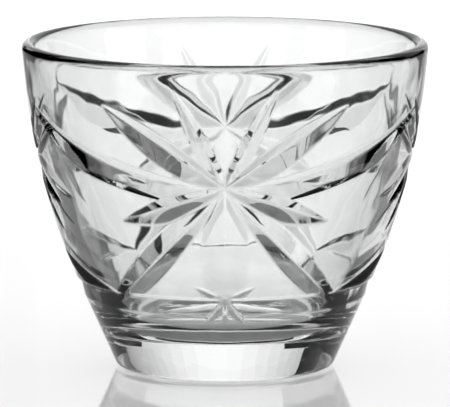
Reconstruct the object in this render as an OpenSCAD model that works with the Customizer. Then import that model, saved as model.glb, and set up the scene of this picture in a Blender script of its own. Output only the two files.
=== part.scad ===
// Lidless sugar bowl in clear pressed glass: one thick body of revolution whose outside is cut with V-edged
// mitre rays, a wide star at front and back, a narrow star on each side, and a ring above the foot.
// Millimetres, +Z up. The origin is on the table under the middle of the foot, and the front star faces -Y.
// Places on the wall are given as [degrees round the bowl from the star's own face, height].

/* [Body] */
// Outer width across the rim
rim_d = 95; // [90:0.5:98]
// Overall height
height = 76.6; // [72:0.2:82]
// Width of the foot at the table, before its edge is rounded
foot_d = 50.8; // [48:0.2:54]
// Lean of the wall under the rim, degrees from upright
rim_flare = 6; // [4:0.5:8]
// Lean of the wall above the foot, degrees from upright
foot_flare = 24; // [22:0.5:26]
// Radius of the outer curve that joins the two leans
belly_r = 158; // [130:1:175]
// Radius of the foot's outer edge
heel_r = 2; // [1:0.1:3]

/* [Inside] */
// Thickness of the rounded lip
lip_t = 3.2; // [2.8:0.1:4]
// Thickness of the wall above the foot, square to it
wall_t = 5; // [4.5:0.1:6]
// Thickness of the glass under the floor
floor_t = 10; // [8:0.5:12]
// Lean of the inside under the rim, degrees from upright
inner_flare = 9; // [7:0.5:11]
// Radius of the inner curve that joins the two leans
inner_belly_r = 150; // [120:1:170]
// Radius between the floor and the wall
floor_r = 12; // [8:0.5:14]

/* [Foot] */
// Width across the inside of the flat ring that the bowl stands on
stand_d = 40; // [34:0.5:43]
// Depth of the hollow under the foot
kick = 1.2; // [0.8:0.1:2]

/* [Mitre cuts] */
// How far each ray runs on past its star's middle
overrun = 1.2; // [0.8:0.1:1.6]
// Half angle of the V edge that cuts the curved rays
v_half = 60; // [56:1:64]

/* [Wide star] */
// Height of the wide star's middle
star_z = 48; // [46:0.5:50]
// Depth of the straight rays at the star's middle
star_sink = 0.6; // [0.4:0.1:0.8]
// Steep ray: degrees from the star's middle to its tip
steep_deg = 14.5; // [13:0.5:16]
// Steep ray: height of its tip
steep_z = 71; // [69:0.5:72]
// Steep ray: width half way along
steep_w = 4; // [3:0.2:5]
// Wing ray: degrees from the star's middle to its tip
wing_deg = 37; // [35:0.5:39]
// Wing ray: height of its tip
wing_z = 66.5; // [65:0.5:68]
// Wing ray: width half way along
wing_w = 6.4; // [5:0.2:7]
// Lower leaf: degrees from the star's middle to its tip
leaf_deg = 34.5; // [33:0.5:36]
// Lower leaf: height of its tip
leaf_z = 39.4; // [38:0.2:41]
// Lower leaf: width half way along
leaf_w = 6.6; // [5:0.2:7]
// Upright ray: width half way along
plumb_w = 11; // [8:0.5:12]
// Upright ray: depth where it meets the ring
plumb_sink = 0.9; // [0.7:0.1:1]
// Side band: degrees from the star's middle to its tip
band_deg = 76; // [74:0.5:78]
// Side band: height of its tip
band_z = 64.4; // [62:0.2:65]
// Side band: depth half way along
band_depth = 2.1; // [1.7:0.1:2.4]
// Side band: how far its V edge leans down from square to the wall, degrees
band_lean = 15.5; // [12:0.5:18]
// Side band: half angle of the V edge's upper side
band_upper = 68; // [64:1:70]
// Side band: half angle of the V edge's lower side
band_lower = 52; // [48:1:56]
// Long lower ray: degrees from the star's middle to its tip
long_deg = 51; // [49:0.5:53]
// Long lower ray: height of its tip
long_z = 17.8; // [17:0.2:19]
// Long lower ray: depth half way along
long_depth = 2.2; // [1.8:0.1:2.6]

/* [Narrow star] */
// Height of the narrow star's middle
side_z = 50; // [48:0.5:52]
// Depth of the straight rays at the star's middle
side_sink = 0.5; // [0.4:0.1:0.8]
// Steep upper ray: degrees from the star's middle to its tip
rise_deg = 20; // [18:0.5:22]
// Steep upper ray: height of its tip
rise_z = 65.5; // [64:0.5:67]
// Steep upper ray: width half way along
rise_w = 3.2; // [2.4:0.2:4]
// Upper ray: degrees from the star's middle to its tip
brow_deg = 24; // [22:0.5:26]
// Upper ray: height of its tip
brow_z = 59.5; // [58:0.5:61]
// Upper ray: width half way along
brow_w = 3.8; // [3:0.2:5]
// Lower leaf: degrees from the star's middle to its tip
chin_deg = 26; // [24:0.5:28]
// Lower leaf: height of its tip
chin_z = 41; // [40:0.5:42]
// Lower leaf: width half way along
chin_w = 4.6; // [3:0.2:5]
// Steep lower ray: degrees from the star's middle to its tip
drop_deg = 21; // [20:0.5:22]
// Steep lower ray: height of its tip
drop_z = 34; // [33:0.5:35]
// Steep lower ray: width half way along
drop_w = 4; // [3:0.2:5]
// Upright lower ray: height of its tip
stem_z = 33; // [32:0.5:34]
// Upright lower ray: width half way along
stem_w = 5; // [4:0.2:6]

/* [Ring above the foot] */
// Height of the ring's V line
ring_z = 20.8; // [20:0.1:22]
// Depth of the ring's V line
ring_depth = 0.7; // [0.5:0.1:1]
// Half angle of the ring's V edge on its upper side
ring_upper = 42; // [36:1:50]
// Half angle of the ring's V edge on its lower side
ring_lower = 80; // [76:1:82]
// Depth of the small fan's rays at the ring
fan_sink = 0.8; // [0.6:0.1:1]
// Short ray rising from the ring: degrees from the star's middle to its tip
spark_deg = 11.5; // [10:0.5:12.5]
// Short ray rising from the ring: height of its tip
spark_z = 24.4; // [24:0.2:26]
// Short ray rising from the ring: width half way along
spark_w = 2; // [1.4:0.2:2.6]
// Short ray falling from the ring: degrees from the star's middle to its tip
fall_deg = 8; // [6:0.5:10]
// Short ray falling from the ring: height of its tip
fall_z = 15; // [14:0.2:16]
// Short ray falling from the ring: width half way along
fall_w = 2.4; // [1.6:0.2:3]
// Short upright ray under the ring: height of its tip
tail_z = 14.4; // [13:0.2:16]
// Short upright ray under the ring: width half way along
tail_w = 2; // [1.4:0.2:2.6]
// Arch on the side: degrees from the side's middle to its foot
arch_deg = 50; // [48:0.5:51]
// Arch on the side: height of its foot
arch_foot_z = 20.2; // [19.6:0.2:21]
// Arch on the side: depth half way along
arch_depth = 1.3; // [1:0.1:1.6]
// Height at which the two arch cuts cross on the side
arch_z = 30; // [28:0.5:32]

/* [Hidden] */
$fn = 180;

// How far a V edge stands out of the wall, and how far it runs on past its two ends
v_clear = 0.5;
v_margin = 1;
// The least bow of a V edge, which keeps a nearly straight one from having no middle
least_bow = 0.02;
// The least length of a cone between two rounded stretches of an outline
cone_least = 0.5;
// How far the pieces of an outline run into each other, and past the outline where they are cut to it
overlap = 3;

function across(a, b) = a[0] * b[1] - a[1] * b[0];
function meet(p, u, q, v) = p + u * across(q - p, v) / across(u, v);
function unit(v) = v / norm(v);
// Direction up a leaning wall, and the direction square to it, away from the axis
function uphill(lean) = [sin(lean), cos(lean)];
function outward(lean) = [cos(lean), -sin(lean)];

// Rim lip
lip_r = lip_t / 2;
lip_c = [rim_d / 2 - lip_r, height - lip_r];
out_top = lip_c + lip_r * outward(rim_flare);
in_top = lip_c - lip_r * outward(inner_flare);

// Rounded outer edge of the foot
foot_pt = [foot_d / 2, 0];
corner_half = (90 - foot_flare) / 2;
heel_lo = [foot_pt[0] - heel_r * tan(corner_half), 0];
heel_hi = foot_pt + heel_r * tan(corner_half) * uphill(foot_flare);
heel_c = heel_lo + [0, heel_r];

// Outer wall: foot cone, belly arc, rim cone. The arc is smaller where there is no room for the cones.
belly_pt = meet(foot_pt, uphill(foot_flare), out_top, uphill(rim_flare));
belly_half = (foot_flare - rim_flare) / 2;
belly_room = min(norm(belly_pt - heel_hi), norm(out_top - belly_pt)) - cone_least;
belly_run = min(belly_r * tan(belly_half), belly_room);
belly_fit = belly_run / tan(belly_half);
belly_lo = belly_pt - belly_run * uphill(foot_flare);
belly_hi = belly_pt + belly_run * uphill(rim_flare);
belly_c = belly_lo - belly_fit * outward(foot_flare);

// Inner wall: floor, floor fillet, lower cone, belly arc, upper cone
in_foot = foot_pt - wall_t * outward(foot_flare);
floor_pt = meet(in_foot, uphill(foot_flare), [0, floor_t], [1, 0]);
floor_lo = floor_pt - [floor_r * tan(corner_half), 0];
floor_hi = floor_pt + floor_r * tan(corner_half) * uphill(foot_flare);
floor_c = floor_lo + [0, floor_r];
hollow_pt = meet(in_foot, uphill(foot_flare), in_top, uphill(inner_flare));
hollow_half = (foot_flare - inner_flare) / 2;
hollow_room = min(norm(hollow_pt - floor_hi), norm(in_top - hollow_pt)) - cone_least;
hollow_run = min(inner_belly_r * tan(hollow_half), hollow_room);
hollow_fit = hollow_run / tan(hollow_half);
hollow_lo = hollow_pt - hollow_run * uphill(foot_flare);
hollow_hi = hollow_pt + hollow_run * uphill(inner_flare);
hollow_c = hollow_lo - hollow_fit * outward(foot_flare);

// Radius of the domed hollow under the foot
kick_r = (pow(stand_d / 2, 2) + pow(kick, 2)) / (2 * kick);

// Radius and lean of the outer wall at a height, and a point on it with its outward direction
function wall_r(z) =
    z <= belly_lo[1] ? foot_pt[0] + z * tan(foot_flare) :
    z >= belly_hi[1] ? out_top[0] + (z - out_top[1]) * tan(rim_flare) :
    belly_c[0] + sqrt(pow(belly_fit, 2) - pow(z - belly_c[1], 2));
function wall_lean(z) =
    z <= belly_lo[1] ? foot_flare :
    z >= belly_hi[1] ? rim_flare :
    asin((belly_c[1] - z) / belly_fit);
function wall_gap(p) = wall_r(p[2]) - norm([p[0], p[1]]);
function wall_pt(a, z) = [wall_r(z) * sin(a), -wall_r(z) * cos(a), z];
function wall_out(a, z) = [cos(wall_lean(z)) * sin(a), -cos(wall_lean(z)) * cos(a), -sin(wall_lean(z))];
// The place on the wall a little past a star's middle, on the line from a ray's tip through that middle
function past(middle, tip, by) =
    let (per_degree = wall_r(middle[1]) * PI / 180)
    let (way = unit([(middle[0] - tip[0]) * per_degree, middle[1] - tip[1]]))
    [middle[0] + by * way[0] / per_degree, middle[1] + by * way[1]];
// The distance from a point inside the wall to the wall, along a direction not far from outward
function wall_reach(p, u, far = 0, tries = 6) =
    tries == 0 ? far : wall_reach(p, u, far + wall_gap(p + far * u), tries - 1);

// Part of a disc between two points on its edge, for the rounded stretches of an outline. The piece ends
// square to the disc's edge at both points, and its inner end lies deep inside the outline.
module round_piece(c, r, p, q, deep) {
    intersection() {
        translate(c) circle(r, $fn = 720);
        polygon([
            p + deep * unit(c - p),
            p + overlap * unit(p - c),
            (p + q) / 2 + overlap * 2 * unit((p + q) / 2 - c),
            q + overlap * unit(q - c),
            q + deep * unit(c - q)
        ]);
    }
}

// Half outline of the outside, solid to the axis
module outside() {
    inner = [belly_lo[0] - overlap, belly_lo[1] + overlap];
    polygon([[0, 0], heel_lo, heel_hi, belly_lo, inner, [0, inner[1]]]);
    round_piece(heel_c, heel_r, heel_lo, heel_hi, heel_r / 2);
    round_piece(belly_c, belly_fit, belly_lo, belly_hi, belly_lo[0] / 2);
    polygon([[0, 0], belly_lo, belly_hi, out_top, lip_c, in_top, [0, in_top[1]]]);
    round_piece(lip_c, lip_r, out_top, in_top, lip_r);
}

// Half outline of the space inside
module hollow() {
    polygon([[0, floor_t], floor_lo, floor_hi, hollow_lo, [0, hollow_lo[1]]]);
    round_piece(floor_c, floor_r, floor_lo, floor_hi, floor_r / 2);
    round_piece(hollow_c, hollow_fit, hollow_lo, hollow_hi, hollow_lo[0] / 2);
    polygon([[0, floor_t], hollow_lo, hollow_hi, in_top, [0, height + floor_t]]);
}

// The uncut body, pressed between a mould and a plunger
module blank() {
    difference() {
        rotate_extrude() outside();
        rotate_extrude() hollow();
        translate([0, 0, kick - kick_r]) sphere(kick_r, $fn = 720);
    }
}

// One straight V-edged cut from one place on the wall to another. The edge's tip lies sunk below the wall
// at the start and at the end, and the wall bulges over it between them, so the cut is a pointed leaf.
module ray(from, to, width, sink = 0, end_sink = 0) {
    start = wall_pt(from[0], from[1]) - sink * wall_out(from[0], from[1]);
    end = wall_pt(to[0], to[1]) - end_sink * wall_out(to[0], to[1]);
    span = norm(end - start);
    along = (end - start) / span;
    half_way = (from + to) / 2;
    out = wall_out(half_way[0], half_way[1]);
    x = unit(out - along * (out * along));
    y = cross(along, x);
    depth = (wall_pt(half_way[0], half_way[1]) - (start + end) / 2) * x;
    // The wall falls away from the ray's middle to its edges by this much
    fall = pow(along[2] * width / 2, 2) / (2 * wall_r(half_way[1]));
    v_height = depth + v_clear;
    half_width = v_height * width / 2 / (depth - fall);
    multmatrix([
        [x[0], y[0], along[0], start[0]],
        [x[1], y[1], along[1], start[1]],
        [x[2], y[2], along[2], start[2]]
    ])
        linear_extrude(span + v_margin)
            polygon([[0, 0], [v_height, half_width], [v_height, -half_width]]);
}

// One curved V-edged cut from one place on the wall to another. The edge's tip is an arc through both places
// that lies depth below the wall half way along, so the cut is a pointed leaf. The edge stands square to the
// wall there, or leans down from it.
module mitre(from, to, depth, lean = 0, upper = v_half, lower = v_half) {
    start = wall_pt(from[0], from[1]);
    end = wall_pt(to[0], to[1]);
    span = norm(end - start);
    along = (end - start) / span;
    half_way = (from + to) / 2;
    out = wall_out(half_way[0], half_way[1]);
    square_out = unit(out - along * (out * along));
    square_up = cross(square_out, along) * (cross(square_out, along)[2] < 0 ? -1 : 1);
    edge_out = cos(lean) * square_out - sin(lean) * square_up;
    chord_mid = (start + end) / 2;
    wall_rise = wall_reach(chord_mid, edge_out);
    bow = abs(wall_rise - depth) < least_bow ? least_bow : wall_rise - depth;
    side = sign(bow);
    r = (pow(span / 2, 2) + pow(bow, 2)) / (2 * abs(bow));
    c = chord_mid + edge_out * (bow - side * r);
    turn = asin(span / 2 / r) + v_margin / r * 180 / PI;
    v_height = depth + v_clear;
    x = edge_out * side;
    z = cos(lean) * square_up + sin(lean) * square_out;
    y = cross(z, x);
    multmatrix([
        [x[0], y[0], z[0], c[0]],
        [x[1], y[1], z[1], c[1]],
        [x[2], y[2], z[2], c[2]]
    ])
        rotate([0, 0, -turn])
            rotate_extrude(angle = 2 * turn, $fn = 360)
                polygon([
                    [r, 0],
                    [r + side * v_height, v_height * tan(upper)],
                    [r + side * v_height, -v_height * tan(lower)]
                ]);
}

// A straight ray of a star at [0, middle_z], and its mirror image
module ray_pair(middle_z, deg, z, width, sink) {
    for (hand = [1, -1]) {
        ray(past([0, middle_z], [hand * deg, z], overrun), [hand * deg, z], width, sink);
    }
}

// A curved ray of a star at [0, middle_z], and its mirror image
module curved_pair(middle_z, deg, z, depth, lean = 0, upper = v_half, lower = v_half) {
    for (hand = [1, -1]) {
        tip = [hand * deg, z];
        mitre(past([0, middle_z], tip, overrun), tip, depth, lean, upper, lower);
    }
}

// Straight rays of the wide star, with the small fan where its upright ray meets the ring
module wide_star() {
    ray_pair(star_z, steep_deg, steep_z, steep_w, star_sink);
    ray_pair(star_z, wing_deg, wing_z, wing_w, star_sink);
    ray_pair(star_z, leaf_deg, leaf_z, leaf_w, star_sink);
    ray([0, star_z + overrun], [0, ring_z], plumb_w, star_sink, plumb_sink);
    ray_pair(ring_z, spark_deg, spark_z, spark_w, fan_sink);
    ray_pair(ring_z, fall_deg, fall_z, fall_w, fan_sink);
    ray([0, ring_z + overrun], [0, tail_z], tail_w, fan_sink);
}

// Curved rays of the wide star
module wide_sweeps() {
    curved_pair(star_z, band_deg, band_z, band_depth, band_lean, band_upper, band_lower);
    curved_pair(star_z, long_deg, long_z, long_depth);
}

// Straight rays of the narrow star
module narrow_star() {
    ray_pair(side_z, rise_deg, rise_z, rise_w, side_sink);
    ray_pair(side_z, brow_deg, brow_z, brow_w, side_sink);
    ray_pair(side_z, chin_deg, chin_z, chin_w, side_sink);
    ray_pair(side_z, drop_deg, drop_z, drop_w, side_sink);
    ray([0, side_z + overrun], [0, stem_z], stem_w, side_sink);
}

// The two arch cuts that cross below the narrow star
module arch() {
    curved_pair(arch_z, arch_deg, arch_foot_z, arch_depth);
}

// V groove all round above the foot, set square to the wall
module ring_cut() {
    lean = wall_lean(ring_z);
    tip = [wall_r(ring_z), ring_z] - ring_depth * outward(lean);
    v_height = ring_depth + v_clear;
    rotate_extrude()
        polygon([
            tip,
            tip + v_height * (outward(lean) + tan(ring_upper) * uphill(lean)),
            tip + v_height * (outward(lean) - tan(ring_lower) * uphill(lean))
        ]);
}

module bowl() {
    color("lightcyan", 0.5)
        difference() {
            blank();
            ring_cut();
            for (turn = [0, 180]) {
                rotate([0, 0, turn]) wide_star();
                rotate([0, 0, turn]) wide_sweeps();
                rotate([0, 0, turn + 90]) narrow_star();
                rotate([0, 0, turn + 90]) arch();
            }
        }
}

bowl();
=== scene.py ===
"""Looks of a lidless sugar bowl in clear pressed glass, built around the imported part.

The glass is one piece. Geometry Nodes turn its half outline round the axis and cut it with V-edged mitre
rays, which repeat at every half turn. The bowl's own sizes are in millimetres, and its tree ends by scaling
them to metres. The glass, the light and the camera are in metres.
"""

import logging
import math
from dataclasses import dataclass, field
from enum import Enum
from typing import Any, Iterable, Optional, Sequence, Union

import bpy
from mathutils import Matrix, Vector


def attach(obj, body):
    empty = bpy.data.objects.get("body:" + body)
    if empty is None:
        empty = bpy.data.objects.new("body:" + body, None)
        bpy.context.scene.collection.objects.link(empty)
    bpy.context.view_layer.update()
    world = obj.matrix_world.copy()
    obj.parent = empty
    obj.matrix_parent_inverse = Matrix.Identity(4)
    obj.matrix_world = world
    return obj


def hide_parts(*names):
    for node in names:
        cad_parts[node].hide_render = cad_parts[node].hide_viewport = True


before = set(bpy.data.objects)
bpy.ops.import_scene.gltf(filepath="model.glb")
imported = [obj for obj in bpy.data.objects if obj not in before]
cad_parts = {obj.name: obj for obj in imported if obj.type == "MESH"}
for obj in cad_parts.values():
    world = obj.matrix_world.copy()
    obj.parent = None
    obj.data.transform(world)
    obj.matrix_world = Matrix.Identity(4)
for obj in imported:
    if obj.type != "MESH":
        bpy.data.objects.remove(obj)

LOG = logging.getLogger("sugar_bowl")
MM = 0.001
Place = tuple[float, float]
Triple = tuple[float, float, float]
# Numbers of a Mix node's two colour inputs and its colour output
MIX_A = 6
MIX_B = 7
MIX_OUT = 2
# Numbers of a Compare node's two inputs for whole numbers
WHOLE_A = 2
WHOLE_B = 3


class Kind(Enum):
    """What a point of the base mesh stands for."""

    OUTLINE = 0
    RAY = 1


class Sock:
    """An output socket whose arithmetic adds Math nodes to its tree."""

    def __init__(self, tree: "Tree", socket: bpy.types.NodeSocket) -> None:
        """Keeps the tree and the socket."""
        self.tree = tree
        self.socket = socket

    def _math(self, operation: str, *values: Any) -> "Sock":
        """Adds one Math node.

        Args:
            operation: The node's operation.
            values: Its inputs in order, numbers or sockets.

        Returns:
            The node's output.
        """
        return self.tree.node("ShaderNodeMath", {"operation": operation}, dict(enumerate(values)))

    def __add__(self, other: Any) -> "Sock":
        """self + other."""
        return self._math("ADD", self, other)

    __radd__ = __add__

    def __sub__(self, other: Any) -> "Sock":
        """self - other."""
        return self._math("SUBTRACT", self, other)

    def __rsub__(self, other: Any) -> "Sock":
        """other - self."""
        return self._math("SUBTRACT", other, self)

    def __mul__(self, other: Any) -> "Sock":
        """self * other."""
        return self._math("MULTIPLY", self, other)

    __rmul__ = __mul__

    def __truediv__(self, other: Any) -> "Sock":
        """self / other."""
        return self._math("DIVIDE", self, other)

    def __rtruediv__(self, other: Any) -> "Sock":
        """other / self."""
        return self._math("DIVIDE", other, self)

    def __floordiv__(self, other: Any) -> "Sock":
        """self / other, rounded down."""
        return self._math("FLOOR", self / other)

    def __gt__(self, other: Any) -> "Sock":
        """1 where self is greater than other, else 0."""
        return self._math("GREATER_THAN", self, other)

    def __lt__(self, other: Any) -> "Sock":
        """1 where self is less than other, else 0."""
        return self._math("LESS_THAN", self, other)

    def cos(self) -> "Sock":
        """Cosine."""
        return self._math("COSINE", self)

    def sin(self) -> "Sock":
        """Sine."""
        return self._math("SINE", self)

    def at_least(self, other: Any) -> "Sock":
        """The larger of self and other."""
        return self._math("MAXIMUM", self, other)

    def at_most(self, other: Any) -> "Sock":
        """The smaller of self and other."""
        return self._math("MINIMUM", self, other)


Value = Union[Sock, float, int, bool, str, Sequence[float], bpy.types.ID]


class Tree:
    """A node tree under construction."""

    def __init__(self, nodes: bpy.types.NodeTree) -> None:
        """Keeps the tree."""
        self.tree = nodes

    def put(self, socket: bpy.types.NodeSocket, value: Value) -> None:
        """Links an output to an input, or sets the input's own value.

        Args:
            socket: The input.
            value: A socket to link or a value to set.
        """
        if isinstance(value, Sock):
            self.tree.links.new(value.socket, socket)
        else:
            socket.default_value = value

    def node(
        self,
        kind: str,
        settings: Optional[dict[str, Any]] = None,
        sockets: Optional[dict[Union[int, str], Value]] = None,
        out: Union[int, str] = 0,
    ) -> Sock:
        """Adds one node.

        Args:
            kind: The node's type.
            settings: Its own settings, which are set first.
            sockets: Values or links of its inputs, by name or number.
            out: Name or number of the output to hand back.

        Returns:
            That output.
        """
        added = self.tree.nodes.new(kind)
        for key, setting in (settings or {}).items():
            setattr(added, key, setting)
        for key, value in (sockets or {}).items():
            if isinstance(value, list) and value and isinstance(value[0], Sock):
                for each in value:
                    self.tree.links.new(each.socket, added.inputs[key])
            else:
                self.put(added.inputs[key], value)
        return Sock(self, added.outputs[out])

    def vector(self, x: Value, y: Value, z: Value) -> Sock:
        """A vector from three numbers."""
        return self.node("ShaderNodeCombineXYZ", None, {0: x, 1: y, 2: z})

    def split(self, vector: Sock) -> tuple[Sock, Sock, Sock]:
        """The three numbers of a vector."""
        x, y, z = self.node("ShaderNodeSeparateXYZ", None, {0: vector}).socket.node.outputs
        return Sock(self, x), Sock(self, y), Sock(self, z)


def meet(p: Vector, u: Vector, q: Vector, v: Vector) -> Vector:
    """Where the line through p along u meets the line through q along v, in the half plane."""
    return p + u * ((q - p).cross(v) / u.cross(v))


def uphill(lean: float) -> Vector:
    """Direction up a wall that leans by so many degrees, in the half plane."""
    return Vector((math.sin(math.radians(lean)), math.cos(math.radians(lean))))


def outward(lean: float) -> Vector:
    """Direction square to a leaning wall, away from the axis, in the half plane."""
    return Vector((math.cos(math.radians(lean)), -math.sin(math.radians(lean))))


def arc(centre: Vector, start: Vector, end: Vector, steps: int) -> list[Vector]:
    """Points along the shorter arc between two points of a circle.

    Args:
        centre: The circle's centre.
        start: First point, which is left out.
        end: Last point, which is kept.
        steps: Number of points.

    Returns:
        The points.
    """
    first = math.atan2(start.y - centre.y, start.x - centre.x)
    sweep = math.atan2(end.y - centre.y, end.x - centre.x) - first
    sweep = (sweep + math.pi) % math.tau - math.pi
    r = (start - centre).length
    return [
        centre + r * Vector((math.cos(first + sweep * k / steps), math.sin(first + sweep * k / steps)))
        for k in range(1, steps + 1)
    ]


def line(start: Vector, end: Vector, steps: int) -> list[Vector]:
    """Points along a line, without its first point."""
    return [start.lerp(end, k / steps) for k in range(1, steps + 1)]


@dataclass
class Body:
    """The turned body of the bowl: foot, wall, rim and hollow, as the part has them."""

    rim_d: float = 95.0
    height: float = 76.6
    foot_d: float = 50.8
    rim_flare: float = 6.0
    foot_flare: float = 24.0
    belly_r: float = 158.0
    heel_r: float = 2.0
    lip_t: float = 3.2
    wall_t: float = 5.0
    floor_t: float = 10.0
    inner_flare: float = 9.0
    inner_belly_r: float = 150.0
    floor_r: float = 12.0
    stand_d: float = 40.0
    kick: float = 1.2
    ring_z: float = 20.8
    ring_depth: float = 0.7
    ring_upper: float = 42.0
    ring_lower: float = 80.0
    reach_tries: int = 6
    # Number of steps in each stretch of the outline, from the underside to the inner floor
    dome_steps: int = 8
    stand_steps: int = 3
    heel_steps: int = 6
    foot_steps: int = 10
    groove_lower_steps: int = 4
    groove_upper_steps: int = 2
    wall_steps: int = 52
    lip_steps: int = 8
    neck_steps: int = 6
    hollow_steps: int = 20
    flank_steps: int = 4
    floor_round_steps: int = 10
    floor_steps: int = 6

    def __post_init__(self) -> None:
        """Works out the points where the stretches of the outline join."""
        self.lip_r = self.lip_t / 2
        self.lip_c = Vector((self.rim_d / 2 - self.lip_r, self.height - self.lip_r))
        self.out_top = self.lip_c + self.lip_r * outward(self.rim_flare)
        self.in_top = self.lip_c - self.lip_r * outward(self.inner_flare)
        foot = Vector((self.foot_d / 2, 0.0))
        low, high = uphill(self.foot_flare), uphill(self.rim_flare)
        corner = meet(foot, low, self.out_top, high)
        run = self.belly_r * math.tan(math.radians((self.foot_flare - self.rim_flare) / 2))
        self.belly_lo, self.belly_hi = corner - run * low, corner + run * high
        self.belly_c = self.belly_lo - self.belly_r * outward(self.foot_flare)
        turn = math.tan(math.radians((90 - self.foot_flare) / 2))
        self.heel_lo = foot - Vector((self.heel_r * turn, 0.0))
        self.heel_hi = foot + self.heel_r * turn * low
        self.heel_c = self.heel_lo + Vector((0.0, self.heel_r))
        inner_foot = foot - self.wall_t * outward(self.foot_flare)
        floor_corner = meet(inner_foot, low, Vector((0.0, self.floor_t)), Vector((1.0, 0.0)))
        self.floor_lo = floor_corner - Vector((self.floor_r * turn, 0.0))
        self.floor_hi = floor_corner + self.floor_r * turn * low
        self.floor_c = self.floor_lo + Vector((0.0, self.floor_r))
        inner_high = uphill(self.inner_flare)
        inner_corner = meet(inner_foot, low, self.in_top, inner_high)
        inner_run = self.inner_belly_r * math.tan(math.radians((self.foot_flare - self.inner_flare) / 2))
        self.hollow_lo, self.hollow_hi = inner_corner - inner_run * low, inner_corner + inner_run * inner_high
        self.hollow_c = self.hollow_lo - self.inner_belly_r * outward(self.foot_flare)
        self.foot = foot

    def radius(self, z: float) -> float:
        """Works out the radius of the uncut outer wall.

        Args:
            z: The height.

        Returns:
            The radius there.
        """
        if z <= self.belly_lo.y:
            return self.foot.x + z * math.tan(math.radians(self.foot_flare))
        if z >= self.belly_hi.y:
            return self.out_top.x + (z - self.out_top.y) * math.tan(math.radians(self.rim_flare))
        return self.belly_c.x + math.sqrt(self.belly_r**2 - (z - self.belly_c.y) ** 2)

    def lean(self, z: float) -> float:
        """Works out the lean of the uncut outer wall.

        Args:
            z: The height.

        Returns:
            The lean there, in degrees.
        """
        if z <= self.belly_lo.y:
            return self.foot_flare
        if z >= self.belly_hi.y:
            return self.rim_flare
        return math.degrees(math.asin((self.belly_c.y - z) / self.belly_r))

    def point(self, place: Place) -> Vector:
        """The point of the outer wall at [degrees round from the front, height]."""
        a, r = math.radians(place[0]), self.radius(place[1])
        return Vector((r * math.sin(a), -r * math.cos(a), place[1]))

    def out(self, place: Place) -> Vector:
        """Direction square to the outer wall at [degrees round from the front, height]."""
        a, lean = math.radians(place[0]), math.radians(self.lean(place[1]))
        return Vector((math.cos(lean) * math.sin(a), -math.cos(lean) * math.cos(a), -math.sin(lean)))

    def reach(self, start: Vector, way: Vector) -> float:
        """Works out how far the outer wall is from a point inside it.

        Args:
            start: The point.
            way: The direction to go, which is not far from outward.

        Returns:
            The distance.
        """
        far = 0.0
        for _ in range(self.reach_tries):
            at = start + far * way
            far += self.radius(at.z) - at.xy.length
        return far

    def past(self, middle: Place, tip: Place, by: float) -> Place:
        """The place a little past a star's middle, on the line from a ray's tip through that middle.

        Args:
            middle: The star's middle.
            tip: The ray's tip.
            by: How far past, in millimetres.

        Returns:
            The place.
        """
        per_degree = self.radius(middle[1]) * math.pi / 180
        way = Vector(((middle[0] - tip[0]) * per_degree, middle[1] - tip[1])).normalized()
        return middle[0] + by * way.x / per_degree, middle[1] + by * way.y

    def _outer(self) -> list[Vector]:
        """Works out the outer wall from the heel to the rim, with the ring's groove.

        Returns:
            The points, going up.
        """
        lean = self.lean(self.ring_z)
        on_wall = Vector((self.radius(self.ring_z), self.ring_z))
        tip = on_wall - self.ring_depth * outward(lean)
        above = on_wall + self.ring_depth * math.tan(math.radians(self.ring_upper)) * uphill(lean)
        below = on_wall - self.ring_depth * math.tan(math.radians(self.ring_lower)) * uphill(lean)
        below.x, above.x = self.radius(below.y), self.radius(above.y)
        pts = line(self.heel_hi, below, self.foot_steps)
        pts += line(below, tip, self.groove_lower_steps)
        pts += line(tip, above, self.groove_upper_steps)
        for k in range(1, self.wall_steps + 1):
            z = above.y + (self.out_top.y - above.y) * k / self.wall_steps
            pts.append(Vector((self.radius(z), z)))
        return pts

    def outline(self) -> list[Vector]:
        """Works out the half outline.

        Returns:
            The points from the axis under the foot, up the outside and down the inside to the floor.
        """
        dome_r = ((self.stand_d / 2) ** 2 + self.kick**2) / (2 * self.kick)
        dome_c = Vector((0.0, self.kick - dome_r))
        start = Vector((0.0, self.kick))
        stand = Vector((self.stand_d / 2, 0.0))
        top = self.lip_c + Vector((0.0, self.lip_r))
        pts = [start] + arc(dome_c, start, stand, self.dome_steps)
        pts += line(stand, self.heel_lo, self.stand_steps)
        pts += arc(self.heel_c, self.heel_lo, self.heel_hi, self.heel_steps)
        pts += self._outer()
        pts += arc(self.lip_c, self.out_top, top, self.lip_steps)
        pts += arc(self.lip_c, top, self.in_top, self.lip_steps)
        pts += line(self.in_top, self.hollow_hi, self.neck_steps)
        pts += arc(self.hollow_c, self.hollow_hi, self.hollow_lo, self.hollow_steps)
        pts += line(self.hollow_lo, self.floor_hi, self.flank_steps)
        pts += arc(self.floor_c, self.floor_hi, self.floor_lo, self.floor_round_steps)
        return pts + line(self.floor_lo, Vector((0.0, self.floor_t)), self.floor_steps)


@dataclass
class Ray:
    """A straight V-edged cut, and the numbers that place the edge that makes it."""

    start_at: Place
    end_at: Place
    width: float
    sink: float
    end_sink: float = 0.0
    clear: float = 0.5
    margin: float = 1.0

    def edge(self, body: Body) -> tuple[Vector, Vector, Vector, Vector]:
        """Places the V edge.

        Args:
            body: The bowl's body.

        Returns:
            The edge's first point, its direction, the direction it opens in, and its height, half width and
            length.
        """
        start = body.point(self.start_at) - self.sink * body.out(self.start_at)
        end = body.point(self.end_at) - self.end_sink * body.out(self.end_at)
        along = (end - start).normalized()
        half_way = tuple((a + b) / 2 for a, b in zip(self.start_at, self.end_at))
        out = body.out(half_way)
        out = (out - along * out.dot(along)).normalized()
        depth = (body.point(half_way) - (start + end) / 2).dot(out)
        fall = (along.z * self.width / 2) ** 2 / (2 * body.radius(half_way[1]))
        height = depth + self.clear
        half_width = height * self.width / 2 / (depth - fall)
        return start, along, out, Vector((height, half_width, (end - start).length + self.margin))


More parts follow.
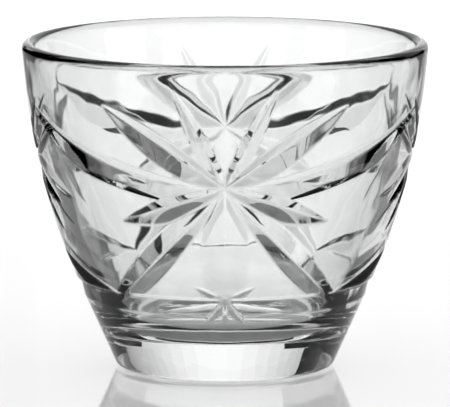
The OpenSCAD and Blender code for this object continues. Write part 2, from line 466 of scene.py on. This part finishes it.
@dataclass
class Sweep:
    """A V-edged cut along an arc, and the numbers that place the edge that makes it."""

    start_at: Place
    end_at: Place
    depth: float
    lean: float
    upper: float
    lower: float
    clear: float = 0.5
    margin: float = 1.0

    def edge(self, body: Body) -> dict[str, Any]:
        """Places the V edge.

        Args:
            body: The bowl's body.

        Returns:
            The arc's radius, half turn, centre and two directions, and the V edge's height and the slopes
            of its sides.
        """
        start, end = body.point(self.start_at), body.point(self.end_at)
        span = (end - start).length
        along = (end - start) / span
        half_way = tuple((a + b) / 2 for a, b in zip(self.start_at, self.end_at))
        out = body.out(half_way)
        out = (out - along * out.dot(along)).normalized()
        up = out.cross(along)
        up *= math.copysign(1.0, up.z)
        lean = math.radians(self.lean)
        edge_out = math.cos(lean) * out - math.sin(lean) * up
        middle = (start + end) / 2
        bow = body.reach(middle, edge_out) - self.depth
        radius = ((span / 2) ** 2 + bow**2) / (2 * bow)
        return {
            "Radius": radius,
            "Turn": math.asin(span / 2 / radius) + self.margin / radius,
            "Centre": middle + edge_out * (bow - radius),
            "Out": edge_out,
            "Lift": math.cos(lean) * up + math.sin(lean) * out,
            "Height": self.depth + self.clear,
            "Upper": math.tan(math.radians(self.upper)),
            "Lower": math.tan(math.radians(self.lower)),
        }


@dataclass
class Pattern:
    """The cuts of one half turn: a wide star facing the front and a narrow star facing the side.

    Places on the wall are degrees round from the front and heights.
    """

    front: float = 0.0
    side: float = 90.0
    star_z: float = 48.0
    side_z: float = 50.0
    arch_z: float = 30.0
    overrun: float = 1.2
    star_sink: float = 0.6
    side_sink: float = 0.5
    fan_sink: float = 0.8
    v_half: float = 60.0
    band_lean: float = 15.5
    band_halves: tuple[float, float] = (68.0, 52.0)
    # Degrees and height of each straight ray's tip, and its width half way along
    wide: tuple[Triple, ...] = ((14.5, 71.0, 4.0), (37.0, 66.5, 6.4), (34.5, 39.4, 6.6))
    narrow: tuple[Triple, ...] = ((20.0, 65.5, 3.2), (24.0, 59.5, 3.8), (26.0, 41.0, 4.6), (21.0, 34.0, 4.0))
    fan: tuple[Triple, ...] = ((11.5, 24.4, 2.0), (8.0, 15.0, 2.4))
    # The upright rays: down to the ring, below the ring, and down the side
    plumb_width: float = 11.0
    plumb_sink: float = 0.9
    tail_z: float = 14.4
    tail_width: float = 2.0
    stem_z: float = 33.0
    stem_width: float = 5.0
    # Degrees and height of each curved cut's tip, and its depth
    band: Triple = (76.0, 64.4, 2.1)
    long: Triple = (51.0, 17.8, 2.2)
    arch: Triple = (50.0, 20.2, 1.3)

    def rays(self, body: Body) -> list[Ray]:
        """All straight cuts of one half turn.

        Args:
            body: The bowl's body.

        Returns:
            The cuts.
        """
        star_top = (self.front, self.star_z + self.overrun)
        ring_top = (self.front, body.ring_z + self.overrun)
        side_top = (self.side, self.side_z + self.overrun)
        cuts = [
            Ray(star_top, (self.front, body.ring_z), self.plumb_width, self.star_sink, self.plumb_sink),
            Ray(ring_top, (self.front, self.tail_z), self.tail_width, self.fan_sink),
            Ray(side_top, (self.side, self.stem_z), self.stem_width, self.side_sink),
        ]
        groups = (
            ((self.front, self.star_z), self.wide, self.star_sink),
            ((self.front, body.ring_z), self.fan, self.fan_sink),
            ((self.side, self.side_z), self.narrow, self.side_sink),
        )
        for middle, tips, sink in groups:
            for degrees, z, width in tips:
                for hand in (1, -1):
                    tip = (middle[0] + hand * degrees, z)
                    cuts.append(Ray(body.past(middle, tip, self.overrun), tip, width, sink))
        return cuts

    def sweeps(self, body: Body) -> list[Sweep]:
        """All curved cuts of one half turn.

        Args:
            body: The bowl's body.

        Returns:
            The cuts.
        """
        cuts = []
        even = (self.v_half, self.v_half)
        groups = (
            ((self.front, self.star_z), self.band, self.band_lean, self.band_halves),
            ((self.front, self.star_z), self.long, 0.0, even),
            ((self.side, self.arch_z), self.arch, 0.0, even),
        )
        for middle, (degrees, z, depth), lean, halves in groups:
            for hand in (1, -1):
                tip = (middle[0] + hand * degrees, z)
                cuts.append(Sweep(body.past(middle, tip, self.overrun), tip, depth, lean, *halves))
        return cuts


@dataclass(frozen=True)
class ClearGlass:
    """Clear fire-polished glass, faintly cloudy and wavy, with scuffs where it stands on the table."""

    clear: Triple = (0.981, 0.984, 0.984)
    cloudy: Triple = (0.971, 0.975, 0.974)
    cloud_scale: float = 40.0
    cloud_detail: float = 2.0
    ior: float = 1.51
    haze: float = 0.03
    scuff: float = 0.25
    scuff_z: float = 0.0002
    speck_scale: float = 1500.0
    speck_detail: float = 3.0
    wave_scale: float = 120.0
    wave_detail: float = 1.0
    wave_depth: float = 0.0001
    soften: float = 0.001
    soften_samples: int = 8

    @staticmethod
    def _noise(t: Tree, coords: Sock, scale: float, detail: float) -> Sock:
        """Noise from 0 to 1 over the piece."""
        return t.node("ShaderNodeTexNoise", None, {"Vector": coords, "Scale": scale, "Detail": detail})

    def material(self) -> bpy.types.Material:
        """Makes the material.

        Returns:
            The material.
        """
        made = bpy.data.materials.new("clear_glass")
        made.use_nodes = True
        made.node_tree.nodes.clear()
        t = Tree(made.node_tree)
        coords = t.node("ShaderNodeTexCoord", out="Object")
        tint = t.node(
            "ShaderNodeMix",
            {"data_type": "RGBA"},
            {
                "Factor": self._noise(t, coords, self.cloud_scale, self.cloud_detail),
                MIX_A: (*self.clear, 1.0),
                MIX_B: (*self.cloudy, 1.0),
            },
            out=MIX_OUT,
        )
        specks = self._noise(t, coords, self.speck_scale, self.speck_detail)
        standing = t.split(coords)[2] < self.scuff_z
        wave = self._noise(t, coords, self.wave_scale, self.wave_detail)
        soft_edge = t.node("ShaderNodeBevel", {"samples": self.soften_samples}, {"Radius": self.soften})
        bump = t.node(
            "ShaderNodeBump", None, {"Distance": self.wave_depth, "Height": wave, "Normal": soft_edge}
        )
        shader = t.node(
            "ShaderNodeBsdfPrincipled",
            None,
            {
                "Base Color": tint,
                "Roughness": specks * (standing * self.scuff + self.haze),
                "IOR": self.ior,
                "Transmission Weight": 1.0,
                "Normal": bump,
            },
        )
        end = made.node_tree.nodes.new("ShaderNodeOutputMaterial")
        t.put(end.inputs["Surface"], shader)
        return made


@dataclass
class Bowl:
    """The bowl: its body, its pattern and its glass."""

    body: Body = field(default_factory=Body)
    pattern: Pattern = field(default_factory=Pattern)
    glass: ClearGlass = field(default_factory=ClearGlass)
    round_steps: int = 480
    bend_steps: int = 72
    repeats: int = 2
    crease: float = 9.0
    weld: float = 0.0005

    def _base(self) -> bpy.types.Mesh:
        """Makes the mesh that feeds the tree.

        Returns:
            A mesh with the outline's points and one point for each straight ray.
        """
        outline = [Vector((p.x, 0.0, p.y)) for p in self.body.outline()]
        edges = [ray.edge(self.body) for ray in self.pattern.rays(self.body)]
        mesh = bpy.data.meshes.new("bowl_base")
        mesh.from_pydata(outline + [e[0] for e in edges], [], [])
        blank = [Vector()] * len(outline)
        kinds = [Kind.OUTLINE.value] * len(outline) + [Kind.RAY.value] * len(edges)
        mesh.attributes.new("kind", "INT", "POINT").data.foreach_set("value", kinds)
        for column, name in enumerate(("along", "out", "size"), start=1):
            flat = [x for v in blank + [e[column] for e in edges] for x in v]
            mesh.attributes.new(name, "FLOAT_VECTOR", "POINT").data.foreach_set("vector", flat)
        return mesh

    @staticmethod
    def _named(t: Tree, name: str, kind: str) -> Sock:
        """Reads a named attribute."""
        return t.node("GeometryNodeInputNamedAttribute", {"data_type": kind}, {"Name": name}, out="Attribute")

    def _of_kind(self, t: Tree, base: Sock, kind: Kind) -> Sock:
        """Picks the base mesh's points of one kind.

        Args:
            t: The tree.
            base: The base mesh.
            kind: The kind.

        Returns:
            Those points.
        """
        same = t.node(
            "FunctionNodeCompare",
            {"data_type": "INT", "operation": "EQUAL"},
            {WHOLE_A: self._named(t, "kind", "INT"), WHOLE_B: kind.value},
        )
        return t.node(
            "GeometryNodeSeparateGeometry",
            {"domain": "POINT"},
            {"Geometry": base, "Selection": same},
            out="Selection",
        )

    def _turned(self, t: Tree, points: Sock, count: int, steps: Sock) -> Sock:
        """Turns the outline round the axis.

        Args:
            t: The tree.
            points: The outline's points.
            count: How many there are.
            steps: Number of steps round the axis.

        Returns:
            The closed body.
        """
        across = steps + 1
        grid = t.node("GeometryNodeMeshGrid", None, {"Vertices X": count, "Vertices Y": across})
        index = t.node("GeometryNodeInputIndex")
        # Half a step keeps the row clear of rounding
        row = (index + 0.5) // across
        angle = (index - row * across) / steps * math.tau
        at = t.node(
            "GeometryNodeSampleIndex",
            {"data_type": "FLOAT_VECTOR", "domain": "POINT"},
            {"Geometry": points, "Value": t.node("GeometryNodeInputPosition"), "Index": row},
        )
        r, _, z = t.split(at)
        place = t.vector(0 - r * angle.sin(), 0 - r * angle.cos(), z)
        wrapped = t.node("GeometryNodeSetPosition", None, {"Geometry": grid, "Position": place})
        return t.node("GeometryNodeMergeByDistance", None, {"Geometry": wrapped, "Distance": self.weld})

    @staticmethod
    def _v_edge(t: Tree, steps: int) -> Sock:
        """Makes a V edge of unit size along Z, with its tip on the axis and open towards +X.

        Args:
            t: The tree.
            steps: Number of steps along it.

        Returns:
            The closed edge, an equal-sided prism turned and scaled to a V of height 1 and half width 1.
        """
        prism = t.node(
            "GeometryNodeMeshCylinder",
            {"fill_type": "NGON"},
            {"Vertices": 3, "Side Segments": steps, "Radius": 1.0, "Depth": 1.0},
        )
        return t.node(
            "GeometryNodeTransform",
            None,
            {
                "Geometry": prism,
                "Translation": (2 / 3, 0.0, 0.5),
                "Rotation": (0.0, 0.0, math.pi),
                "Scale": (2 / 3, 2 / math.sqrt(3), 1.0),
            },
        )

    @staticmethod
    def _facing(t: Tree, along: Value, out: Value) -> Sock:
        """The rotation that takes Z along one direction and X as near as it can to another."""
        return t.node(
            "FunctionNodeAxesToRotation",
            {"primary_axis": "Z", "secondary_axis": "X"},
            {"Primary Axis": along, "Secondary Axis": out},
        )

    def _bent(self, t: Tree, numbers: dict[str, Any]) -> Sock:
        """One V edge bent along its arc and put in place.

        Args:
            t: The tree.
            numbers: The arc's and the V edge's numbers.

        Returns:
            The closed cutter.
        """
        x, y, z = t.split(t.node("GeometryNodeInputPosition"))
        # The edge runs from 0 to 1 along Z, and its middle goes to the arc's middle
        angle = (z - 0.5) * (-2 * numbers["Turn"])
        reach = x * numbers["Height"] + numbers["Radius"]
        rise = (y.at_least(0.0) * numbers["Upper"] + y.at_most(0.0) * numbers["Lower"]) * numbers["Height"]
        place = t.vector(reach * angle.cos(), reach * angle.sin(), rise)
        edge = self._v_edge(t, self.bend_steps)
        bent = t.node("GeometryNodeSetPosition", None, {"Geometry": edge, "Position": place})
        turn = self._facing(t, tuple(numbers["Lift"]), tuple(numbers["Out"]))
        return t.node(
            "GeometryNodeTransform",
            None,
            {"Geometry": bent, "Translation": tuple(numbers["Centre"]), "Rotation": turn},
        )

    def _cutters(self, t: Tree, base: Sock, times: Sock) -> Sock:
        """Makes every V edge of the pattern.

        Args:
            t: The tree.
            base: The base mesh.
            times: How often the cuts repeat round the axis.

        Returns:
            The V edges, each an instance of its own.
        """
        along = self._named(t, "along", "FLOAT_VECTOR")
        out = self._named(t, "out", "FLOAT_VECTOR")
        rays = t.node(
            "GeometryNodeInstanceOnPoints",
            None,
            {
                "Points": self._of_kind(t, base, Kind.RAY),
                "Instance": self._v_edge(t, 1),
                "Rotation": self._facing(t, along, out),
                "Scale": self._named(t, "size", "FLOAT_VECTOR"),
            },
        )
        bends = [self._bent(t, cut.edge(self.body)) for cut in self.pattern.sweeps(self.body)]
        singles = [t.node("GeometryNodeGeometryToInstance", None, {"Geometry": [b]}) for b in bends]
        once = t.node("GeometryNodeJoinGeometry", None, {"Geometry": [rays] + singles})
        turn = t.vector(0.0, 0.0, t.node("GeometryNodeInputIndex") / times * math.tau)
        repeated = t.node(
            "GeometryNodeInstanceOnPoints",
            None,
            {
                "Points": t.node("GeometryNodeMeshLine", None, {"Count": times, "Offset": (0.0, 0.0, 0.0)}),
                "Instance": once,
                "Rotation": t.node("FunctionNodeEulerToRotation", None, {0: turn}),
            },
        )
        # The boolean reads only one level of instances
        return t.node(
            "GeometryNodeRealizeInstances", None, {"Geometry": repeated, "Realize All": False, "Depth": 1}
        )

    @staticmethod
    def _dressed(t: Tree, cut: Sock, sharp: Sock, material: bpy.types.Material) -> Sock:
        """Scales the cut bowl to metres, keeps its steep edges crisp and gives it its glass.

        Args:
            t: The tree.
            cut: The cut bowl, in millimetres.
            sharp: Angle past which an edge stays crisp.
            material: The glass.

        Returns:
            The finished bowl.
        """
        small = t.node("GeometryNodeTransform", None, {"Geometry": cut, "Scale": (MM, MM, MM)})
        smooth = t.node(
            "GeometryNodeSetShadeSmooth", {"domain": "FACE"}, {"Geometry": small, "Shade Smooth": True}
        )
        steep = t.node("GeometryNodeInputMeshEdgeAngle") > sharp
        creased = t.node(
            "GeometryNodeSetShadeSmooth",
            {"domain": "EDGE"},
            {"Geometry": smooth, "Selection": steep, "Shade Smooth": False},
        )
        real = t.node("GeometryNodeRealizeInstances", None, {"Geometry": creased})
        return t.node("GeometryNodeSetMaterial", None, {"Geometry": real, "Material": material})

    def tree(self, count: int, material: bpy.types.Material) -> tuple[bpy.types.NodeTree, dict[str, str]]:
        """Builds the Geometry Nodes tree.

        Args:
            count: Number of points in the outline.
            material: The glass.

        Returns:
            The tree, and the identifier of each named input.
        """
        group = bpy.data.node_groups.new("mitre_bowl", "GeometryNodeTree")
        face = group.interface
        face.new_socket("Geometry", in_out="INPUT", socket_type="NodeSocketGeometry")
        steps = face.new_socket("Steps round", in_out="INPUT", socket_type="NodeSocketInt")
        repeats = face.new_socket("Repeats of the pattern", in_out="INPUT", socket_type="NodeSocketInt")
        crease = face.new_socket("Crease angle", in_out="INPUT", socket_type="NodeSocketFloat")
        face.new_socket("Geometry", in_out="OUTPUT", socket_type="NodeSocketGeometry")
        t = Tree(group)
        entry = group.nodes.new("NodeGroupInput")
        base, round_steps, times, sharp = (Sock(t, socket) for socket in entry.outputs[:-1])
        cut = t.node(
            "GeometryNodeMeshBoolean",
            {"operation": "DIFFERENCE", "solver": "MANIFOLD"},
            {
                "Mesh 1": self._turned(t, self._of_kind(t, base, Kind.OUTLINE), count, round_steps),
                "Mesh 2": [self._cutters(t, base, times)],
            },
        )
        end = group.nodes.new("NodeGroupOutput")
        t.put(end.inputs[0], self._dressed(t, cut, sharp, material))
        return group, {"steps": steps.identifier, "repeats": repeats.identifier, "crease": crease.identifier}

    def build(self) -> bpy.types.Object:
        """Makes the bowl as one plain mesh.

        Returns:
            The piece.
        """
        made = bpy.data.objects.new("bowl_maker", self._base())
        bpy.context.scene.collection.objects.link(made)
        material = self.glass.material()
        group, names = self.tree(len(self.body.outline()), material)
        modifier = made.modifiers.new("mitre_bowl", "NODES")
        modifier.node_group = group
        modifier[names["steps"]] = self.round_steps
        modifier[names["repeats"]] = self.repeats
        modifier[names["crease"]] = math.radians(self.crease)
        evaluated = made.evaluated_get(bpy.context.evaluated_depsgraph_get())
        mesh = bpy.data.meshes.new_from_object(evaluated)
        made.modifiers.clear()
        bpy.data.objects.remove(made)
        mesh.name = "glass_bowl"
        piece = bpy.data.objects.new("glass_bowl", mesh)
        bpy.context.scene.collection.objects.link(piece)
        return piece


@dataclass(frozen=True)
class SoftBox:
    """A soft light with an evenly bright face, out of the camera's sight and dark from behind."""

    name: str
    place: Triple
    aim: Triple
    size: tuple[float, float]
    glow: float

    def build(self) -> None:
        """Adds the light."""
        lamp = bpy.data.lights.new(self.name, "AREA")
        lamp.shape = "RECTANGLE"
        lamp.size, lamp.size_y = self.size
        # The power that makes the face as bright as its glow
        lamp.energy = math.pi * self.size[0] * self.size[1] * self.glow
        obj = bpy.data.objects.new(self.name, lamp)
        obj.location = self.place
        way = Vector(self.aim) - Vector(self.place)
        obj.rotation_euler = way.to_track_quat("-Z", "Y").to_euler()
        obj.visible_camera = False
        bpy.context.scene.collection.objects.link(obj)


@dataclass(frozen=True)
class BackWall:
    """A wall of light behind the bowl, in upright strips, brightest near the middle.

    The strips at both ends start off the floor.
    """

    y: float = 0.8
    left: float = -0.48
    right: float = 1.14
    count: int = 24
    low_left: float = -0.3
    low_right: float = 0.46
    raised: float = 0.22
    top: float = 0.9
    middle: float = 0.03
    spread: float = 0.4
    dim: float = 0.4
    bright: float = 0.98

    def strips(self) -> list[SoftBox]:
        """Works out the strips.

        Returns:
            The strips from left to right.
        """
        wide = (self.right - self.left) / self.count
        made = []
        for k in range(self.count):
            x = self.left + (k + 0.5) * wide
            bottom = 0.0 if self.low_left < x < self.low_right else self.raised
            z = (bottom + self.top) / 2
            glow = self.dim + (self.bright - self.dim) / (1 + ((x - self.middle) / self.spread) ** 2)
            size = (wide, self.top - bottom)
            made.append(SoftBox(f"back_strip_{k}", (x, self.y, z), (x, 0.0, z), size, glow))
        return made


@dataclass(frozen=True)
class PlainFinish:
    """An even grey surface, which may give off some light of its own."""

    tone: float
    rough: float = 1.0
    ior: float = 1.5
    glow: float = 0.0

    def material(self, name: str) -> bpy.types.Material:
        """Makes the material.

        Args:
            name: Its name.

        Returns:
            The material.
        """
        made = bpy.data.materials.new(name)
        made.use_nodes = True
        sockets = made.node_tree.nodes["Principled BSDF"].inputs
        sockets["Base Color"].default_value = (self.tone, self.tone, self.tone, 1.0)
        sockets["Roughness"].default_value = self.rough
        sockets["IOR"].default_value = self.ior
        sockets["Emission Color"].default_value = (1.0, 1.0, 1.0, 1.0)
        sockets["Emission Strength"].default_value = self.glow
        return made


@dataclass
class Studio:
    """Pale glossy floor, soft boxes, a wall of light behind, painted shade round the foot, and the camera.

    Clear glass shows only what lies behind it, so dark and grey sheets of painted shadow on the floor beside
    the foot give it its dark edges, and a paler sheet of painted shade lies under it. The sheets are seen
    only through the glass.
    """

    distance: float = 1.19
    camera_z: float = 0.2265
    aim_z: float = 0.038
    lens: float = 410.7
    sensor: float = 36.0
    near: float = 0.01
    far: float = 20.0
    floor_reach: float = 4.0
    floor_z: float = -0.0003
    shade_z: float = -0.00015
    foot_r: float = 0.0245
    foot_points: int = 48
    surround: float = 0.8
    exposure: float = 0.07
    gamma: float = 0.82
    floor: PlainFinish = PlainFinish(tone=0.8, rough=0.06, ior=1.9, glow=0.3)
    # Painted shade on the floor under the foot, paler than the shadow beside it
    pale: PlainFinish = PlainFinish(tone=0.75)
    # Painted shade on the floor further out beside the foot
    grey: PlainFinish = PlainFinish(tone=0.35)
    # Painted shadow on the floor right beside the foot
    dark: PlainFinish = PlainFinish(tone=0.03)
    wall: BackWall = BackWall()
    boxes: tuple[SoftBox, ...] = (
        SoftBox("left_box", (-0.9, -0.45, 0.125), (0.0, -0.45, 0.125), (0.6, 0.25), 1.15),
        SoftBox("right_box", (0.9, -0.45, 0.125), (0.0, -0.45, 0.125), (0.6, 0.25), 1.4),
        SoftBox("front_box", (0.0, -1.5, 0.22), (0.0, 0.0, 0.22), (2.4, 0.44), 0.76),
        SoftBox("top_box", (0.0, 0.0, 1.6), (0.0, 0.0, 0.0), (3.2, 3.2), 0.76),
    )
    # Corners of the darkest painted shadow on the floor right beside the foot, on the right; the left one is
    # its mirror image
    shadow_beside_foot: tuple[Place, ...] = ((0.03, -0.03), (0.065, -0.03), (0.065, 0.02), (0.032, 0.02))
    # Corners of the grey painted shade on the floor further out beside and behind the foot, left then right
    left_half_shade: tuple[Place, ...] = (
        (-0.065, -0.03),
        (-0.15, -0.03),
        (-0.15, 0.14),
        (-0.11, 0.1),
        (-0.045, 0.085),
        (-0.032, 0.02),
        (-0.065, 0.02),
    )
    right_half_shade: tuple[Place, ...] = (
        (0.065, -0.03),
        (0.15, -0.03),
        (0.15, 0.14),
        (0.11, 0.1),
        (0.08, 0.08),
        (0.075, 0.02),
        (0.065, 0.02),
    )

    @staticmethod
    def _sheet(name: str, corners: Sequence[Place], z: float, finish: PlainFinish) -> bpy.types.Object:
        """Lays one flat sheet.

        Args:
            name: Its name.
            corners: Its corners in order, seen from above.
            z: Its height.
            finish: Its surface.

        Returns:
            The sheet.
        """
        mesh = bpy.data.meshes.new(name)
        mesh.from_pydata([(x, y, z) for x, y in corners], [], [tuple(range(len(corners)))])
        mesh.materials.append(finish.material(name))
        obj = bpy.data.objects.new(name, mesh)
        bpy.context.scene.collection.objects.link(obj)
        return obj

    def _lay_painted_shade(self, name: str, corners: Sequence[Place], finish: PlainFinish) -> None:
        """Lays a sheet of painted shade on the floor that is seen only through the glass.

        Args:
            name: Its name.
            corners: Its corners in order, seen from above.
            finish: Its surface.
        """
        shade_sheet = self._sheet(name, corners, self.shade_z, finish)
        shade_sheet.visible_camera = False
        shade_sheet.visible_diffuse = False
        shade_sheet.visible_glossy = False
        shade_sheet.visible_shadow = False

    def _lay(self) -> None:
        """Lays the floor, which ends at the wall of light, and the painted shade round the foot."""
        r = self.floor_reach
        corners = [(-r, -r), (r, -r), (r, self.wall.y), (-r, self.wall.y)]
        self._sheet("pale_floor", corners, self.floor_z, self.floor)
        # The disc of painted shade under the foot
        turns = [math.tau * k / self.foot_points for k in range(self.foot_points)]
        disc = [(self.foot_r * math.cos(a), self.foot_r * math.sin(a)) for a in turns]
        # Painted shade under the foot, the darkest painted shadow right beside it, and grey painted shade
        # further out
        self._lay_painted_shade("painted_shade_under_foot", disc, self.pale)
        self._lay_painted_shade("right_painted_shadow", self.shadow_beside_foot, self.dark)
        self._lay_painted_shade("left_painted_shadow", [(-x, y) for x, y in self.shadow_beside_foot], self.dark)
        self._lay_painted_shade("right_painted_half_shade", self.right_half_shade, self.grey)
        self._lay_painted_shade("left_painted_half_shade", self.left_half_shade, self.grey)

    def _camera(self) -> None:
        """Adds the camera at the photograph's viewing angle."""
        data = bpy.data.cameras.new("camera")
        data.lens = self.lens
        data.sensor_width = self.sensor
        data.clip_start = self.near
        data.clip_end = self.far
        obj = bpy.data.objects.new("camera", data)
        place = Vector((0.0, -self.distance, self.camera_z))
        obj.location = place
        way = Vector((0.0, 0.0, self.aim_z)) - place
        obj.rotation_euler = way.to_track_quat("-Z", "Y").to_euler()
        bpy.context.scene.collection.objects.link(obj)
        bpy.context.scene.camera = obj

    def _world(self) -> None:
        """Sets the surround, pale for the camera and dark for the glass, and the picture's contrast."""
        made = bpy.data.worlds.new("surround")
        made.use_nodes = True
        pale = (self.surround, self.surround, self.surround, 1.0)
        made.node_tree.nodes["Background"].inputs["Color"].default_value = pale
        seen = made.cycles_visibility
        seen.diffuse = False
        seen.glossy = False
        seen.transmission = False
        scene = bpy.context.scene
        scene.world = made
        scene.view_settings.view_transform = "Standard"
        scene.view_settings.exposure = self.exposure
        scene.view_settings.gamma = self.gamma

    def build(self) -> None:
        """Sets the scene round the bowl."""
        self._lay()
        for box in (*self.wall.strips(), *self.boxes):
            box.build()
        self._camera()
        self._world()


def main() -> None:
    """Builds the bowl and its studio."""
    logging.basicConfig(level=logging.INFO)
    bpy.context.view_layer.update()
    piece = Bowl().build()
    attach(piece, "root")
    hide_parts("bowl")
    LOG.info("%s: %d faces", piece.name, len(piece.data.polygons))
    Studio().build()


if __name__ == "__main__":
    main()
